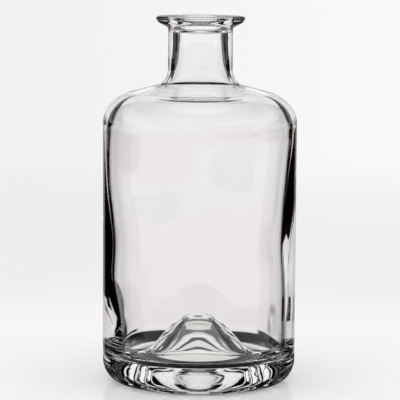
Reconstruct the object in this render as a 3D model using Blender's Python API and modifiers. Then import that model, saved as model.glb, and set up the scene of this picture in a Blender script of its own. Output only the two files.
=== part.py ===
"""Apothecary bottle of clear glass: one turned wall, from the domed punt to the open mouth with its flared lip.

Metres, +Z up. The origin is the centre of the ring that the bottle stands on, and +Z is the bottle's axis.
"""

import math
from collections import namedtuple

import bpy

# Overall sizes
BOTTLE_HEIGHT = 0.1628
BODY_RADIUS = 0.043
BODY_WALL = 0.0034
TURN_STEPS = 48
CURVE_STEPS = 5
EDGE_STEPS = 2

# Lip, a flange round the mouth: a narrow upright edge over a cone that runs in to the neck
LIP_RADIUS = 0.0197
LIP_EDGE_HEIGHT = 0.0021
LIP_EDGE_ROUND = 0.0007
LIP_DEPTH = 0.0051
LIP_NECK_ROUND = 0.0008

# Mouth, the straight seat for a cork, and the bore of the neck that widens below it
MOUTH_RADIUS = 0.00925
MOUTH_ROUND = 0.0006
MOUTH_SEAT_DEPTH = 0.0060
NECK_BORE_RADIUS = 0.0101
SEAT_STEP_DROP = 0.0009
SEAT_STEP_ROUND = 0.0004

# Neck and the hollow curves at its foot, outside and inside
NECK_RADIUS = 0.0143
NECK_FOOT_HEIGHT = 0.1335
NECK_FOOT_RISE = 0.0065
NECK_FOOT_REACH = 0.0041
BORE_TAPER_HEIGHT = 0.1485
BORE_TAPER_ROUND = 0.0045
BORE_FOOT_RADIUS = 0.0132
BORE_FOOT_RISE = 0.0080
BORE_FOOT_REACH = 0.0080

# Shoulder: a low cone that rounds over into the upright body
CROWN_SLOPE_DEG = 14.8
CROWN_WALL = 0.0034
SHOULDER_REACH = 0.0125
SHOULDER_DROP = 0.0098
INNER_SHOULDER_REACH = 0.0110
INNER_SHOULDER_DROP = 0.0095

# Heel and the flat ring that the bottle stands on
HEEL_HEIGHT = 0.0100
HEEL_REACH = 0.0085
FOOT_RING_WIDTH = 0.0016

# Thick base: the inside floor falls from the wall to a valley, then rises over the punt
INNER_CORNER_HEIGHT = 0.0128
INNER_CORNER_RISE = 0.0060
INNER_CORNER_REACH = 0.0050
VALLEY_RADIUS = 0.0262
VALLEY_HEIGHT = 0.0100
VALLEY_ROUND = 0.0090
PUNT_TOP = 0.0303
PUNT_TOP_RADIUS = 0.0072
PUNT_TOP_ROUND = 0.0065

# Underside of the punt, seen from below
HOLLOW_TOP = 0.0272
HOLLOW_TOP_RADIUS = 0.0050
HOLLOW_TOP_ROUND = 0.0030
HOLLOW_BEND_RADIUS = 0.0135
HOLLOW_BEND_HEIGHT = 0.0145
HOLLOW_BEND_ROUND = 0.0060

GLASS_COLOUR = (0.93, 0.94, 0.93, 1.0)
GLASS_ROUGHNESS = 0.02
GLASS_IOR = 1.52
SMOOTH_BELOW_DEG = 30

# A corner of the outline: how far its rounding reaches back along each side, and the steps it takes
Corner = namedtuple("Corner", "radius height before after steps", defaults=(0, 0, 0))


def clear_scene():
    for obj in list(bpy.data.objects):
        bpy.data.objects.remove(obj, do_unlink=True)


def rounded(radius, height, before, after=None):
    """A corner with a wide rounding, in a curve of its own."""
    return Corner(radius, height, before, before if after is None else after, CURVE_STEPS)


def eased(radius, height, edge):
    """A corner whose edge is only broken."""
    return Corner(radius, height, edge, edge, EDGE_STEPS)


def towards(start, end, reach):
    """The point on the line from start to end at the distance reach, and never past its end."""
    span = math.dist(start, end)
    share = min(reach / span, 1)
    return [a + (b - a) * share for a, b in zip(start, end)]


def rounded_corner(previous, corner, following):
    """Points of a quarter ellipse that leaves one side of a corner and joins the other without a kink."""
    tip = (corner.radius, corner.height)
    if not corner.steps:
        return [tip]
    start = towards(tip, (previous.radius, previous.height), corner.before)
    end = towards(tip, (following.radius, following.height), corner.after)
    points = []
    for step in range(corner.steps + 1):
        turn = math.pi / 2 * step / corner.steps
        from_start = 1 - math.sin(turn)
        from_end = 1 - math.cos(turn)
        points.append(
            tuple(
                t + (s - t) * from_start + (e - t) * from_end
                for t, s, e in zip(tip, start, end)
            )
        )
    return points


def outline_through(corners):
    points = []
    for index, corner in enumerate(corners):
        previous = corners[max(index - 1, 0)]
        following = corners[min(index + 1, len(corners) - 1)]
        points += rounded_corner(previous, corner, following)
    return points


def inside_corners():
    """From the top of the punt out to the wall, and up to the mouth."""
    cavity_radius = BODY_RADIUS - BODY_WALL
    slope = math.tan(math.radians(CROWN_SLOPE_DEG))
    ceiling_height = NECK_FOOT_HEIGHT - CROWN_WALL / math.cos(math.radians(CROWN_SLOPE_DEG))
    shoulder_height = ceiling_height - (cavity_radius - NECK_RADIUS) * slope
    bore_foot_height = ceiling_height + (NECK_RADIUS - BORE_FOOT_RADIUS) * slope
    seat_end = BOTTLE_HEIGHT - MOUTH_SEAT_DEPTH
    return [
        Corner(0, PUNT_TOP),
        rounded(PUNT_TOP_RADIUS, PUNT_TOP, PUNT_TOP_RADIUS, PUNT_TOP_ROUND),
        rounded(VALLEY_RADIUS, VALLEY_HEIGHT, VALLEY_ROUND),
        rounded(cavity_radius, INNER_CORNER_HEIGHT, INNER_CORNER_REACH, INNER_CORNER_RISE),
        rounded(cavity_radius, shoulder_height, INNER_SHOULDER_DROP, INNER_SHOULDER_REACH),
        rounded(BORE_FOOT_RADIUS, bore_foot_height, BORE_FOOT_REACH, BORE_FOOT_RISE),
        rounded(NECK_BORE_RADIUS, BORE_TAPER_HEIGHT, BORE_TAPER_ROUND),
        eased(NECK_BORE_RADIUS, seat_end - SEAT_STEP_DROP, SEAT_STEP_ROUND),
        eased(MOUTH_RADIUS, seat_end, SEAT_STEP_ROUND),
        eased(MOUTH_RADIUS, BOTTLE_HEIGHT, MOUTH_ROUND),
    ]


def outside_corners():
    """From the top of the lip down the outer side to the foot ring, and in under the punt."""
    slope = math.tan(math.radians(CROWN_SLOPE_DEG))
    shoulder_height = NECK_FOOT_HEIGHT - (BODY_RADIUS - NECK_RADIUS) * slope
    ring_radius = BODY_RADIUS - HEEL_REACH
    return [
        eased(LIP_RADIUS, BOTTLE_HEIGHT, LIP_EDGE_ROUND),
        eased(LIP_RADIUS, BOTTLE_HEIGHT - LIP_EDGE_HEIGHT, LIP_EDGE_ROUND),
        eased(NECK_RADIUS, BOTTLE_HEIGHT - LIP_DEPTH, LIP_NECK_ROUND),
        rounded(NECK_RADIUS, NECK_FOOT_HEIGHT, NECK_FOOT_RISE, NECK_FOOT_REACH),
        rounded(BODY_RADIUS, shoulder_height, SHOULDER_REACH, SHOULDER_DROP),
        rounded(BODY_RADIUS, 0, HEEL_HEIGHT, HEEL_REACH),
        Corner(ring_radius - FOOT_RING_WIDTH, 0),
        rounded(HOLLOW_BEND_RADIUS, HOLLOW_BEND_HEIGHT, HOLLOW_BEND_ROUND),
        rounded(HOLLOW_TOP_RADIUS, HOLLOW_TOP, HOLLOW_TOP_ROUND),
        Corner(0, HOLLOW_TOP),
    ]


def without_repeats(points):
    """Neighbours at the same place become one point, as where two roundings use up a side between them."""
    kept = [points[0]]
    for point in points[1:]:
        if not all(math.isclose(a, b, abs_tol=BODY_WALL / 1000) for a, b in zip(point, kept[-1])):
            kept.append(point)
    return kept


def glass_material():
    material = bpy.data.materials.new("clear_glass")
    material.use_nodes = True
    shader = material.node_tree.nodes["Principled BSDF"]
    shader.inputs["Base Color"].default_value = GLASS_COLOUR
    shader.inputs["Metallic"].default_value = 0
    shader.inputs["Roughness"].default_value = GLASS_ROUGHNESS
    shader.inputs["IOR"].default_value = GLASS_IOR
    shader.inputs["Transmission Weight"].default_value = 1
    return material


def turned(name, outline, material, collection):
    """The outline, in the XZ plane, swept a full turn about the Z axis."""
    mesh = bpy.data.meshes.new(name)
    points = [(radius, 0, height) for radius, height in outline]
    edges = [(index, index + 1) for index in range(len(points) - 1)]
    mesh.from_pydata(points, edges, [])
    obj = bpy.data.objects.new(name, mesh)
    obj.data.materials.append(material)
    collection.objects.link(obj)
    screw = obj.modifiers.new("Turn", "SCREW")
    screw.axis = "Z"
    screw.angle = math.tau
    screw.steps = TURN_STEPS
    screw.render_steps = TURN_STEPS
    screw.use_merge_vertices = True
    screw.merge_threshold = 1e-6
    return obj


def bake_and_smooth(obj):
    """The turned surface as a mesh of its own, shaded smooth but for its crisp edges."""
    graph = bpy.context.evaluated_depsgraph_get()
    mesh = bpy.data.meshes.new_from_object(obj.evaluated_get(graph))
    obj.modifiers.clear()
    obj.data = mesh
    mesh.shade_smooth()
    mesh.set_sharp_from_angle(angle=math.radians(SMOOTH_BELOW_DEG))


def main():
    clear_scene()
    collection = bpy.data.collections.new("apothecary_bottle")
    bpy.context.scene.collection.children.link(collection)
    outline = without_repeats(outline_through(inside_corners() + outside_corners()))
    bottle = turned("glass_bottle", outline, glass_material(), collection)
    bake_and_smooth(bottle)


main()
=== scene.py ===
"""Apothecary bottle of clear glass, standing on a pale glossy table in plain soft studio light.

Metres, +Z up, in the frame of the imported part: the bottle stands on z = 0 and its axis is the Z axis.
"""

import math
from collections import namedtuple

import bmesh
import bpy
import numpy as np
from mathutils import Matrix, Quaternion, Vector


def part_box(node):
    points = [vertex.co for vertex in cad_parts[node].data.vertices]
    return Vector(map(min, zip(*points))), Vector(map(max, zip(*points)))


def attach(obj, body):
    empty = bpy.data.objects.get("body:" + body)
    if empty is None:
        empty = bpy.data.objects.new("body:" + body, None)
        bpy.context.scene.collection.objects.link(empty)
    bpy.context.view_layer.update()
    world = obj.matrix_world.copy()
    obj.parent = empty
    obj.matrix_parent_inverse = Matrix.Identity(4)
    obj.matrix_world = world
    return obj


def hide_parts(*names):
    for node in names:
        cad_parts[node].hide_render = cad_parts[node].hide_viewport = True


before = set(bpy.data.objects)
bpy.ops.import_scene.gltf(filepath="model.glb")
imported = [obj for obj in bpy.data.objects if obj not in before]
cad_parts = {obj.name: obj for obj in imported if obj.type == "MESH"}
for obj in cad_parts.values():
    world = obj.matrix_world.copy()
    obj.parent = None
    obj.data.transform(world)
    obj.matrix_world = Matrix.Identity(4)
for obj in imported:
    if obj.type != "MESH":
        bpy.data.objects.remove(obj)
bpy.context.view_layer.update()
_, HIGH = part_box("glass_bottle")

# Overall sizes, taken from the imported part
BOTTLE_HEIGHT = HIGH.z
BODY_RADIUS = HIGH.x

# How finely the glass is turned, and below which angle its faces are shaded as one
TURN_STEPS = 192
CURVE_STEPS = 22
EDGE_STEPS = 5
LONGEST_STEP = 0.0016
SMOOTH_BELOW_DEG = 40

# Two points of the outline this near are one, and a point this near to the axis is on it
SAME_PLACE = LONGEST_STEP / 1000
ON_THE_AXIS = 1e-6

# Wall of the body and of the crown
BODY_WALL = 0.0034
CROWN_WALL = 0.0034

# Lip, a flange round the mouth: a rounded edge over a cone that runs in to the neck
LIP_RADIUS = 0.0197
LIP_EDGE_HEIGHT = 0.0024
LIP_TOP_ROUND = 0.0010
LIP_CONE_ROUND = 0.0024
LIP_DEPTH = 0.0051
LIP_NECK_ROUND = 0.0008

# Mouth, the straight seat for a cork, and the bore of the neck that widens below it
MOUTH_RADIUS = 0.00925
MOUTH_ROUND = 0.0006
MOUTH_SEAT_DEPTH = 0.0060
NECK_BORE_RADIUS = 0.0101
SEAT_STEP_DROP = 0.0009
SEAT_STEP_ROUND = 0.0004

# Neck and the hollow curves at its foot, outside and inside
NECK_RADIUS = 0.0143
NECK_FOOT_HEIGHT = 0.1335
NECK_FOOT_RISE = 0.0065
NECK_FOOT_REACH = 0.0041
BORE_TAPER_HEIGHT = 0.1485
BORE_TAPER_ROUND = 0.0045
BORE_FOOT_RADIUS = 0.0132
BORE_FOOT_RISE = 0.0080
BORE_FOOT_REACH = 0.0080

# Shoulder: a low cone that rounds over into the upright body
CROWN_SLOPE_DEG = 14.8
SHOULDER_REACH = 0.0125
SHOULDER_DROP = 0.0098
INNER_SHOULDER_REACH = 0.0110
INNER_SHOULDER_DROP = 0.0095

# Heel and the flat ring that the bottle stands on
HEEL_HEIGHT = 0.0100
HEEL_REACH = 0.0085
FOOT_RING_WIDTH = 0.0016

# Thick base: the inside floor falls from the wall to a valley, then rises over the punt
INNER_CORNER_HEIGHT = 0.0128
INNER_CORNER_RISE = 0.0060
INNER_CORNER_REACH = 0.0050
VALLEY_RADIUS = 0.0262
VALLEY_HEIGHT = 0.0100
VALLEY_ROUND = 0.0090
PUNT_TOP = 0.0303
PUNT_TOP_RADIUS = 0.0072
PUNT_TOP_ROUND = 0.0065

# Underside of the punt
HOLLOW_TOP = 0.0272
HOLLOW_TOP_RADIUS = 0.0050
HOLLOW_TOP_ROUND = 0.0030
HOLLOW_BEND_RADIUS = 0.0135
HOLLOW_BEND_HEIGHT = 0.0145
HOLLOW_BEND_ROUND = 0.0060

# A corner of the outline: how far its rounding reaches back along each side, and the steps it takes
Corner = namedtuple("Corner", "radius height before after steps", defaults=(0, 0, 0))

# A swell of the inner wall: where it is, how far it reaches up the wall and round it, and how much
# nearer to the axis it brings the glass (a negative amount thins the wall)
Swell = namedtuple("Swell", "height turn_deg reach turn_reach_deg amount")

SWELLS = [
    Swell(0.0933, 233, 0.0160, 27, 0.0024),
    Swell(0.0562, 154, 0.0276, 37, 0.0031),
    Swell(0.0200, 187, 0.0200, 37, 0.0021),
    Swell(0.0883, 154, 0.0133, 44, 0.0007),
    Swell(0.0908, 229, 0.0250, 40, -0.0006),
    Swell(0.0470, 190, 0.0110, 33, -0.0006),
    Swell(0.0218, 332, 0.0294, 39, 0.0009),
    Swell(0.0800, 16, 0.0281, 37, 0.0020),
    Swell(0.1150, 296, 0.0223, 31, 0.0020),
    Swell(0.0493, 9, 0.0275, 22, 0.0020),
    Swell(0.0520, 337, 0.0181, 48, 0.0010),
    Swell(0.0829, 333, 0.0219, 27, -0.0006),
    Swell(0.0202, 14, 0.0153, 22, 0.0024),
    Swell(0.0468, 342, 0.0150, 37, -0.0006),
]

# The swells start a little below the corner between floor and wall, and they fade out in the shoulder.
# They move the inner side of the wall alone: what lies deeper in the wall than this share of its
# thickness, and farther from the axis than this share of the body's radius
SWELLS_START = INNER_CORNER_HEIGHT * 0.9
SWELLS_END = 0.1185
SWELLS_FADE = 0.0100
INNER_SIDE_DEPTH = 0.6
INNER_SIDE_FROM = 0.6


def linear(hex_colour):
    """The linear colour, with alpha, of an sRGB hex value."""
    values = [int(hex_colour[start:start + 2], 16) / 255 for start in (1, 3, 5)]
    return (*[v / 12.92 if v <= 0.04045 else ((v + 0.055) / 1.055) ** 2.4 for v in values], 1)


def add_node(tree, kind, inputs=None, **settings):
    """A node with its settings; each input is a plain value or the socket that feeds it."""
    node = tree.nodes.new(kind)
    for name, value in settings.items():
        setattr(node, name, value)
    for name, value in (inputs or {}).items():
        socket = node.inputs[name]
        if isinstance(value, bpy.types.NodeSocket):
            tree.links.new(value, socket)
        else:
            socket.default_value = value
    return node


def maths(tree, operation, *values):
    return add_node(tree, "ShaderNodeMath", dict(enumerate(values)), operation=operation).outputs[0]


def opposite(tree, share):
    """0 where the share is 1, and 1 where it is 0."""
    return maths(tree, "SUBTRACT", 1.0, share)


def smooth_step(tree, value, start, end):
    """0 at the start and 1 at the end, with a soft rise between them."""
    return add_node(tree, "ShaderNodeMapRange", {
        "Value": value, "From Min": start, "From Max": end,
    }, interpolation_type="SMOOTHSTEP").outputs[0]


def along(tree, direction, axis):
    """How far a direction or a place reaches along an axis."""
    return add_node(tree, "ShaderNodeVectorMath", {
        0: direction, 1: axis,
    }, operation="DOT_PRODUCT").outputs["Value"]


def mixed_colour(tree, share, first, second):
    """The first colour at share 0 and the second at share 1."""
    return add_node(tree, "ShaderNodeMix", {
        "Factor": share, "A": first, "B": second,
    }, data_type="RGBA").outputs["Result"]


def mixed_surface(tree, share, first, second):
    """The first surface at share 0 and the second at share 1."""
    return add_node(tree, "ShaderNodeMixShader", {0: share, 1: first, 2: second}).outputs[0]


def sine(angle_deg):
    return math.sin(math.radians(angle_deg))


def cosine(angle_deg):
    return math.cos(math.radians(angle_deg))


# Outline of the glass


def rounded(radius, height, before, after=None):
    """A corner with a wide rounding, in a curve of its own."""
    return Corner(radius, height, before, before if after is None else after, CURVE_STEPS)


def eased(radius, height, edge):
    """A corner whose edge is only broken."""
    return Corner(radius, height, edge, edge, EDGE_STEPS)


def towards(start, end, reach):
    """The point on the line from start to end at the distance reach, and never past its end."""
    share = min(reach / math.dist(start, end), 1)
    return [a + (b - a) * share for a, b in zip(start, end)]


def rounded_corner(previous, corner, following):
    """Points of a quarter ellipse that joins the two sides of a corner without a kink."""
    tip = (corner.radius, corner.height)
    if not corner.steps:
        return [tip]
    start = towards(tip, (previous.radius, previous.height), corner.before)
    end = towards(tip, (following.radius, following.height), corner.after)
    points = []
    for step in range(corner.steps + 1):
        turn = math.pi / 2 * step / corner.steps
        from_start = 1 - math.sin(turn)
        from_end = 1 - math.cos(turn)
        points.append(tuple(
            t + (s - t) * from_start + (e - t) * from_end for t, s, e in zip(tip, start, end)
        ))
    return points


def outline_through(corners):
    points = []
    for index, corner in enumerate(corners):
        previous = corners[max(index - 1, 0)]
        following = corners[min(index + 1, len(corners) - 1)]
        points += rounded_corner(previous, corner, following)
    return points


def evenly_cut(points):
    """The outline with its repeats left out and its long straight stretches cut into short steps."""
    cut = [points[0]]
    for point in points[1:]:
        last = cut[-1]
        span = math.dist(last, point)
        if span < SAME_PLACE:
            continue
        pieces = math.ceil(span / LONGEST_STEP)
        cut += [
            tuple(a + (b - a) * step / pieces for a, b in zip(last, point))
            for step in range(1, pieces + 1)
        ]
    return cut


def inside_corners():
    """From the top of the punt out to the wall, and up to the mouth."""
    cavity_radius = BODY_RADIUS - BODY_WALL
    slope = math.tan(math.radians(CROWN_SLOPE_DEG))
    ceiling_height = NECK_FOOT_HEIGHT - CROWN_WALL / cosine(CROWN_SLOPE_DEG)
    shoulder_height = ceiling_height - (cavity_radius - NECK_RADIUS) * slope
    bore_foot_height = ceiling_height + (NECK_RADIUS - BORE_FOOT_RADIUS) * slope
    seat_end = BOTTLE_HEIGHT - MOUTH_SEAT_DEPTH
    return [
        Corner(0, PUNT_TOP),
        rounded(PUNT_TOP_RADIUS, PUNT_TOP, PUNT_TOP_RADIUS, PUNT_TOP_ROUND),
        rounded(VALLEY_RADIUS, VALLEY_HEIGHT, VALLEY_ROUND),
        rounded(cavity_radius, INNER_CORNER_HEIGHT, INNER_CORNER_REACH, INNER_CORNER_RISE),
        rounded(cavity_radius, shoulder_height, INNER_SHOULDER_DROP, INNER_SHOULDER_REACH),
        rounded(BORE_FOOT_RADIUS, bore_foot_height, BORE_FOOT_REACH, BORE_FOOT_RISE),
        rounded(NECK_BORE_RADIUS, BORE_TAPER_HEIGHT, BORE_TAPER_ROUND),
        eased(NECK_BORE_RADIUS, seat_end - SEAT_STEP_DROP, SEAT_STEP_ROUND),
        eased(MOUTH_RADIUS, seat_end, SEAT_STEP_ROUND),
        eased(MOUTH_RADIUS, BOTTLE_HEIGHT, MOUTH_ROUND),
    ]


def outside_corners():
    """From the top of the lip down the outer side to the foot ring, and in under the punt."""
    slope = math.tan(math.radians(CROWN_SLOPE_DEG))
    shoulder_height = NECK_FOOT_HEIGHT - (BODY_RADIUS - NECK_RADIUS) * slope
    ring_radius = BODY_RADIUS - HEEL_REACH
    lip_edge_end = BOTTLE_HEIGHT - LIP_EDGE_HEIGHT
    return [
        rounded(LIP_RADIUS, BOTTLE_HEIGHT, LIP_TOP_ROUND),
        rounded(LIP_RADIUS, lip_edge_end, LIP_EDGE_HEIGHT - LIP_TOP_ROUND, LIP_CONE_ROUND),
        eased(NECK_RADIUS, BOTTLE_HEIGHT - LIP_DEPTH, LIP_NECK_ROUND),
        rounded(NECK_RADIUS, NECK_FOOT_HEIGHT, NECK_FOOT_RISE, NECK_FOOT_REACH),
        rounded(BODY_RADIUS, shoulder_height, SHOULDER_REACH, SHOULDER_DROP),
        rounded(BODY_RADIUS, 0, HEEL_HEIGHT, HEEL_REACH),
        Corner(ring_radius - FOOT_RING_WIDTH, 0),
        rounded(HOLLOW_BEND_RADIUS, HOLLOW_BEND_HEIGHT, HOLLOW_BEND_ROUND),
        rounded(HOLLOW_TOP_RADIUS, HOLLOW_TOP, HOLLOW_TOP_ROUND),
        Corner(0, HOLLOW_TOP),
    ]


# The glass


def turned(name, outline):
    """The outline, in the XZ plane, swept a full turn about the Z axis, as a mesh of its own."""
    mesh = bpy.data.meshes.new(name)
    mesh.from_pydata(
        [(radius, 0, height) for radius, height in outline],
        [(index, index + 1) for index in range(len(outline) - 1)],
        [],
    )
    obj = bpy.data.objects.new(name, mesh)
    bpy.context.scene.collection.objects.link(obj)
    screw = obj.modifiers.new("Turn", "SCREW")
    screw.angle = math.tau
    screw.steps = TURN_STEPS
    screw.render_steps = TURN_STEPS
    screw.use_merge_vertices = True
    screw.merge_threshold = ON_THE_AXIS
    graph = bpy.context.evaluated_depsgraph_get()
    obj.data = bpy.data.meshes.new_from_object(obj.evaluated_get(graph))
    obj.modifiers.clear()
    return obj


def swell_inner_wall(mesh):
    """The wavy inside of a blown body: the air never presses the hot glass out quite evenly."""
    points = np.empty(len(mesh.vertices) * 3)
    mesh.vertices.foreach_get("co", points)
    points = points.reshape(-1, 3)
    radius = np.hypot(points[:, 0], points[:, 1])
    turn = np.degrees(np.arctan2(points[:, 1], points[:, 0]))
    height = points[:, 2]
    inner_side = (
        (height > SWELLS_START)
        & (radius > BODY_RADIUS * INNER_SIDE_FROM)
        & (radius < BODY_RADIUS - BODY_WALL * INNER_SIDE_DEPTH)
    )
    moved = np.zeros(len(radius))
    for swell in SWELLS:
        aside = (turn - swell.turn_deg + 180) % 360 - 180
        up = (height - swell.height) / swell.reach
        moved += swell.amount * np.exp(-up ** 2 - (aside / swell.turn_reach_deg) ** 2)
    moved[~inner_side] = 0
    fade = np.clip((SWELLS_END - height) / SWELLS_FADE, 0, 1)
    moved *= fade * fade * (3 - 2 * fade)
    share = 1 - moved / np.maximum(radius, ON_THE_AXIS)
    points[:, 0] *= share
    points[:, 1] *= share
    mesh.vertices.foreach_set("co", points.ravel())
    mesh.update()


def make_bottle():
    outline = evenly_cut(outline_through(inside_corners() + outside_corners()))
    bottle = turned("bottle_glass", outline)
    swell_inner_wall(bottle.data)
    bottle.data.shade_smooth()
    bottle.data.set_sharp_from_angle(angle=math.radians(SMOOTH_BELOW_DEG))
    bottle.data.materials.clear()
    bottle.data.materials.append(soda_lime_glass())
    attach(bottle, "root")
    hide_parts("glass_bottle")


GLASS_TINT = "#fcfcfc"
GLASS_IOR = 1.52
SHADOW_FILM = "#eeeeee"


def soda_lime_glass():
    """Soda-lime glass blown in a polished mould: clear and sharp, so the eye sees only what it bends.

    For shadows it is a plain pale film, and the table under the bottle stays light.
    """
    material = bpy.data.materials.new("soda_lime_glass")
    material.use_nodes = True
    tree = material.node_tree
    tree.nodes.clear()
    glass = add_node(tree, "ShaderNodeBsdfPrincipled", {
        "Base Color": linear(GLASS_TINT),
        "Roughness": 0.0,
        "IOR": GLASS_IOR,
        "Transmission Weight": 1.0,
    })
    light_path = add_node(tree, "ShaderNodeLightPath")
    let_through = add_node(tree, "ShaderNodeBsdfTransparent", {"Color": linear(SHADOW_FILM)})
    shadow = light_path.outputs["Is Shadow Ray"]
    surface = mixed_surface(tree, shadow, glass.outputs[0], let_through.outputs[0])
    add_node(tree, "ShaderNodeOutputMaterial", {"Surface": surface})
    return material


# The studio

# The backdrop as the camera sees it, on the left and on the right, painted a little darker on the left:
# painted shade of light that falls on it unevenly
BACKDROP_LEFT = "#f1f1f2"
BACKDROP_RIGHT = "#f8f8f9"

# What the glass sees: the cards, low and high, the room round them, and the table near the bottle, which
# glows with painted light where pale and with painted shade, in the room's dark colour, where dark
CARD_PALE = "#f5f2f1"
CARD_WHITE = "#ffffff"
STUDIO_DARK_AND_PAINTED_SHADE = "#110b09"
TABLE_PAINTED_LIGHT = "#f1efec"

# The table as the camera sees it, round the bottle and farther away: painted paler round the bottle, as
# painted light that makes up for the shade and the dark gloss there
SHEET_NEAR = "#fbf9f7"
SHEET_FAR = "#edebe9"

# A white card of the studio, as the bottle sees it: the turn of its middle about the Z axis, how far it
# reaches to each side of that, the heights between which it stands, all in degrees, and how much of it
# the glass mirrors
Card = namedtuple("Card", "turn_deg half_width_deg lowest_deg highest_deg mirrored_share")

CARDS = [
    # Behind the bottle: low, lower still, and high above it
    Card(90, 25, -13, -5.5, 0.4),
    Card(90, 12, -35, -12, 0.4),
    Card(90, 34, 20, 47, 0.15),
    # The far table all round, and the pale room at both sides and in front
    Card(90, 178, -40, -22, 0.06),
    Card(185, 20, -12, 8, 0.06),
    Card(-5, 20, -12, 8, 0.06),
    Card(270, 80, -23, 2, 0.06),
    # The backdrop that the polished table mirrors
    Card(90, 8, 4, 15, 1.0),
]

# Half the width of a card's soft edge at its sides, and all of it at its top and bottom
CARD_EDGE_DEG = 1.5

# Between these angles of height the cards go from pale to white
WHITER_FROM_DEG = -8
WHITER_TO_DEG = 2

# The round soft box behind the bottle, and its soft edge as a share of its size
SOFT_BOX_HEIGHT_DEG = 4
SOFT_BOX_HALF_WIDTH_DEG = 27
SOFT_BOX_HALF_HEIGHT_DEG = 18
SOFT_BOX_EDGE = 0.12
SOFT_BOX_MIRRORED_SHARE = 0.4

# A soft light overhead, with how bright it is
OVERHEAD_FROM_DEG = 66
OVERHEAD_EDGE_DEG = 3
OVERHEAD_SHARE = 0.3

# The backdrop changes from left to right between view directions that lean aside by this much
BACKDROP_REACH = 0.09

# What the glass shows of the table is painted light and painted shade: it glows pale under the punt and a
# little way behind it, is painted dark as the shade of the ring and the heel, and glows pale again in
# lanes that run out from the bottle between stretches painted dark. Where the shade ends, the white cards
# stand in for the rest of the table. All these edges are equally soft
UNDER_PUNT_RADIUS = 0.021
BACK_PATCH_RADIUS = 0.046
BACK_PATCH_START = 0.020
OUTER_LANE_START = 0.077
OUTER_LANE_HALF_WIDTH = 0.039
OUTER_LANE_TURNS_DEG = (90, 135)
SHADE_END = 0.086
SHADE_EDGE = 0.004


def card_share(tree, card, level_direction, height):
    """1 where a direction meets the card and 0 elsewhere, with soft edges."""
    towards_card = along(tree, level_direction, (cosine(card.turn_deg), sine(card.turn_deg), 0))
    across = smooth_step(
        tree, towards_card,
        cosine(card.half_width_deg + CARD_EDGE_DEG), cosine(card.half_width_deg - CARD_EDGE_DEG),
    )
    half_edge = CARD_EDGE_DEG / 2
    above = smooth_step(
        tree, height, sine(card.lowest_deg - half_edge), sine(card.lowest_deg + half_edge)
    )
    below = smooth_step(
        tree, height, sine(card.highest_deg + half_edge), sine(card.highest_deg - half_edge)
    )
    return maths(tree, "MULTIPLY", maths(tree, "MULTIPLY", across, above), below)


def soft_box_share(tree, level_direction, height):
    """1 inside the oval that the round soft box fills and 0 outside it."""
    aside = opposite(tree, along(tree, level_direction, (0, 1, 0)))
    across = maths(tree, "DIVIDE", aside, 1 - cosine(SOFT_BOX_HALF_WIDTH_DEG))
    above = maths(tree, "SUBTRACT", height, sine(SOFT_BOX_HEIGHT_DEG))
    up = maths(tree, "DIVIDE", above, sine(SOFT_BOX_HALF_HEIGHT_DEG))
    from_middle = maths(tree, "ADD", across, maths(tree, "POWER", up, 2.0))
    return smooth_step(tree, from_middle, 1 + SOFT_BOX_EDGE, 1 - SOFT_BOX_EDGE)


def studio_brightness(tree, direction, height, refracted):
    """The brightest light or card in a direction: all of it through the glass, part of it mirrored."""
    flat = add_node(tree, "ShaderNodeVectorMath", {
        0: direction, 1: (1, 1, 0),
    }, operation="MULTIPLY").outputs[0]
    level = add_node(tree, "ShaderNodeVectorMath", {0: flat}, operation="NORMALIZE").outputs[0]
    overhead = smooth_step(
        tree, height, sine(OVERHEAD_FROM_DEG), sine(OVERHEAD_FROM_DEG + OVERHEAD_EDGE_DEG)
    )
    brightest = maths(tree, "MULTIPLY", overhead, OVERHEAD_SHARE)
    lights = [(card_share(tree, card, level, height), card.mirrored_share) for card in CARDS]
    lights.append((soft_box_share(tree, level, height), SOFT_BOX_MIRRORED_SHARE))
    for light, mirrored_share in lights:
        share = add_node(tree, "ShaderNodeMix", {
            "Factor": refracted, "A": mirrored_share, "B": 1.0,
        }).outputs[0]
        brightest = maths(tree, "MAXIMUM", brightest, maths(tree, "MULTIPLY", light, share))
    return brightest


def make_world():
    """A pale backdrop for the eye, white cards in a dark room for the glass, plain white for the table."""
    world = bpy.data.worlds.new("studio")
    bpy.context.scene.world = world
    world.use_nodes = True
    tree = world.node_tree
    tree.nodes.clear()
    direction = add_node(tree, "ShaderNodeTexCoord").outputs["Generated"]
    parts = add_node(tree, "ShaderNodeSeparateXYZ", {0: direction}).outputs
    light_path = add_node(tree, "ShaderNodeLightPath").outputs
    brightness = studio_brightness(tree, direction, parts["Z"], light_path["Is Transmission Ray"])
    whiter = smooth_step(tree, parts["Z"], sine(WHITER_FROM_DEG), sine(WHITER_TO_DEG))
    card_colour = mixed_colour(tree, whiter, linear(CARD_PALE), linear(CARD_WHITE))
    for_glass = mixed_colour(tree, brightness, linear(STUDIO_DARK_AND_PAINTED_SHADE), card_colour)
    scattered = maths(tree, "MINIMUM", light_path["Diffuse Depth"], 1.0)
    for_objects = mixed_colour(tree, scattered, for_glass, linear(CARD_WHITE))
    to_the_right = smooth_step(tree, parts["X"], -BACKDROP_REACH, BACKDROP_REACH)
    for_camera = mixed_colour(tree, to_the_right, linear(BACKDROP_LEFT), linear(BACKDROP_RIGHT))
    seen = mixed_colour(tree, light_path["Is Camera Ray"], for_objects, for_camera)
    background = add_node(tree, "ShaderNodeBackground", {"Color": seen})
    add_node(tree, "ShaderNodeOutputWorld", {"Surface": background.outputs[0]})


# The table, which melts into the backdrop between these distances from the bottle
TABLE_RADIUS = 1.6
TABLE_SEGMENTS = 128
TABLE_FADE_START = 0.15
TABLE_FADE_END = 1.0

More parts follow.
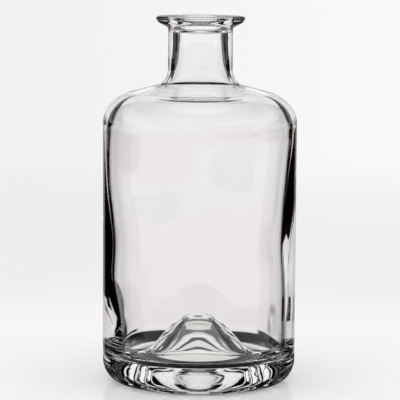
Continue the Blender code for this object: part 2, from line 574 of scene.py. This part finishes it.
# Its gloss mirrors the bottle faintly: in full up to the first of these distances from the bottle's axis,
# and not at all beyond the last
GLOSS_SHARE = 0.15
GLOSS_ROUGHNESS = 0.03
GLOSS_START = 0.10
GLOSS_END = 0.30


def step_at(tree, distance, place):
    """0 nearer than the place and 1 beyond it, with a soft edge."""
    return smooth_step(tree, distance, place - SHADE_EDGE / 2, place + SHADE_EDGE / 2)


def lane_share(tree, place, turn_deg, half_width):
    """1 on a straight lane across the table through the bottle's axis, and 0 beside it."""
    aside = along(tree, place, (cosine(turn_deg + 90), sine(turn_deg + 90), 0))
    return opposite(tree, step_at(tree, maths(tree, "ABSOLUTE", aside), half_width))


def painted_light_share(tree, place, distance):
    """1 where the glass sees the table glow with painted light, and 0 where it sees painted shade."""
    pale = opposite(tree, step_at(tree, distance, UNDER_PUNT_RADIUS))
    backwards = add_node(tree, "ShaderNodeSeparateXYZ", {0: place}).outputs["Y"]
    near = opposite(tree, step_at(tree, distance, BACK_PATCH_RADIUS))
    back_patch = maths(tree, "MULTIPLY", near, step_at(tree, backwards, BACK_PATCH_START))
    pale = maths(tree, "MAXIMUM", pale, back_patch)
    beyond = step_at(tree, distance, OUTER_LANE_START)
    for turn in OUTER_LANE_TURNS_DEG:
        lane = lane_share(tree, place, turn, OUTER_LANE_HALF_WIDTH)
        pale = maths(tree, "MAXIMUM", pale, maths(tree, "MULTIPLY", lane, beyond))
    return pale


def table_top():
    """White acrylic sheet with a gloss: pale, with a faint mirror image of what stands on it.

    Its colour is painted paler round the bottle as painted light, and through the glass it glows with
    painted light and painted shade.
    """
    material = bpy.data.materials.new("gloss_acrylic")
    material.use_nodes = True
    tree = material.node_tree
    tree.nodes.clear()
    place = add_node(tree, "ShaderNodeNewGeometry").outputs["Position"]
    distance = add_node(tree, "ShaderNodeVectorMath", {0: place}, operation="LENGTH").outputs["Value"]
    open_air = add_node(tree, "ShaderNodeBsdfTransparent").outputs[0]

    nearness = smooth_step(tree, distance, GLOSS_END, GLOSS_START)
    # The sheet is painted paler round the bottle: painted light over the shade there
    sheet_colour = mixed_colour(tree, nearness, linear(SHEET_FAR), linear(SHEET_NEAR))
    sheet = add_node(tree, "ShaderNodeBsdfDiffuse", {"Color": sheet_colour}).outputs[0]
    gloss = add_node(tree, "ShaderNodeBsdfAnisotropic", {"Roughness": GLOSS_ROUGHNESS}).outputs[0]
    for_eye = mixed_surface(tree, maths(tree, "MULTIPLY", nearness, GLOSS_SHARE), sheet, gloss)

    # Seen through the glass or mirrored by it, the table near the bottle glows: painted light where pale,
    # painted shade where dark
    pale = painted_light_share(tree, place, distance)
    painted_light_and_shade_colour = mixed_colour(tree, pale, linear(STUDIO_DARK_AND_PAINTED_SHADE), linear(TABLE_PAINTED_LIGHT))
    near = add_node(tree, "ShaderNodeEmission", {"Color": painted_light_and_shade_colour}).outputs[0]
    for_glass = mixed_surface(tree, step_at(tree, distance, SHADE_END), near, open_air)

    light_path = add_node(tree, "ShaderNodeLightPath").outputs
    by_glass = maths(tree, "MAXIMUM", light_path["Is Transmission Ray"], light_path["Is Glossy Ray"])
    seen = mixed_surface(tree, by_glass, for_eye, for_glass)
    fade = smooth_step(tree, distance, TABLE_FADE_START, TABLE_FADE_END)
    add_node(tree, "ShaderNodeOutputMaterial", {"Surface": mixed_surface(tree, fade, seen, open_air)})
    return material


def make_table():
    mesh = bpy.data.meshes.new("table")
    shape = bmesh.new()
    bmesh.ops.create_circle(shape, cap_ends=True, segments=TABLE_SEGMENTS, radius=TABLE_RADIUS)
    shape.to_mesh(mesh)
    shape.free()
    table = bpy.data.objects.new("table", mesh)
    bpy.context.scene.collection.objects.link(table)
    mesh.materials.append(table_top())


# The view

CAMERA_PLACE = Vector((0, -0.950, 0.1941))
CAMERA_AIM_HEIGHT = 0.0810
CAMERA_AIM_ASIDE = 0.0002
CAMERA_LENS_MM = 193.1
CAMERA_SENSOR_MM = 36
CAMERA_ROLL_DEG = 0.36


def make_camera():
    camera = bpy.data.objects.new("camera", bpy.data.cameras.new("camera"))
    camera.data.lens = CAMERA_LENS_MM
    camera.data.sensor_width = CAMERA_SENSOR_MM
    camera.location = CAMERA_PLACE
    aim = Vector((CAMERA_AIM_ASIDE, 0, CAMERA_AIM_HEIGHT)) - CAMERA_PLACE
    roll = Quaternion((0, 0, 1), math.radians(CAMERA_ROLL_DEG))
    camera.rotation_euler = (aim.to_track_quat("-Z", "Y") @ roll).to_euler()
    bpy.context.scene.collection.objects.link(camera)
    bpy.context.scene.camera = camera


# Two wide round lamps in front of the bottle and above it, one on each side
LAMP_PLACES = {"left": (-1.1, -0.6, 1.3), "right": (1.1, -0.6, 1.3)}
LAMP_SIZE = 0.9
LAMP_POWER = 2


def make_lamps():
    """The lamps light the table, and the glass neither shows nor mirrors them."""
    for name, place in LAMP_PLACES.items():
        lamp = bpy.data.lights.new(name, "AREA")
        lamp.shape = "DISK"
        lamp.size = LAMP_SIZE
        lamp.energy = LAMP_POWER
        obj = bpy.data.objects.new(name, lamp)
        obj.location = place
        obj.rotation_euler = (-Vector(place)).to_track_quat("-Z", "Y").to_euler()
        obj.visible_glossy = False
        obj.visible_transmission = False
        bpy.context.scene.collection.objects.link(obj)


# A view through more faces of the glass than this stays dark, as in the thick parts of a real bottle
THROUGH_GLASS_BOUNCES = 7
MIRRORED_BOUNCES = 8
ALL_BOUNCES = 10
CLEAR_BOUNCES = 16

make_bottle()
make_table()
make_world()
make_lamps()
make_camera()

scene = bpy.context.scene
scene.view_settings.view_transform = "Standard"
scene.cycles.max_bounces = ALL_BOUNCES
scene.cycles.glossy_bounces = MIRRORED_BOUNCES
scene.cycles.transmission_bounces = THROUGH_GLASS_BOUNCES
scene.cycles.transparent_max_bounces = CLEAR_BOUNCES
